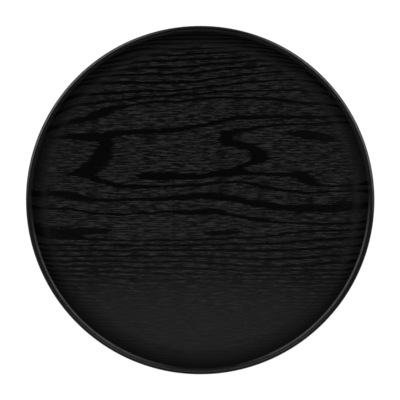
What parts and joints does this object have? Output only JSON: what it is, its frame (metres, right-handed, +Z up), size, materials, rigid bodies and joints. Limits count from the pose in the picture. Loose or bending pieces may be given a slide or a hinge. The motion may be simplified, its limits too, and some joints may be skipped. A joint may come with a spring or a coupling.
{
  "type": "serving tray",
  "caption": "Round shallow serving tray, press-moulded from crossed wood veneers, with a flat floor, a coved wall and a rounded rim.",
  "frame": {"origin": "centre of the flat underside, which the tray rests on", "axes": "+Z up, out of the tray's mouth; +X along the grain of the face veneer; +Y across it"},
  "size_m": [0.36, 0.36, 0.022],
  "materials": {
    "stained_face": "open-pored ash veneer, crown cut, stained black under a satin clear coat",
    "stained_core": "rotary-cut core plies whose trimmed edge is sanded, stained black and sealed",
    "stained_back": "straight-grained ash veneer, stained black under a satin clear coat"
  },
  "bodies": {
    "root": {"face_veneer": "stained_face", "upper_crossband": "stained_core", "upper_long_ply": "stained_core", "centre_crossband": "stained_core", "lower_long_ply": "stained_core", "lower_crossband": "stained_core", "back_veneer": "stained_back"}
  },
  "joints": []
}
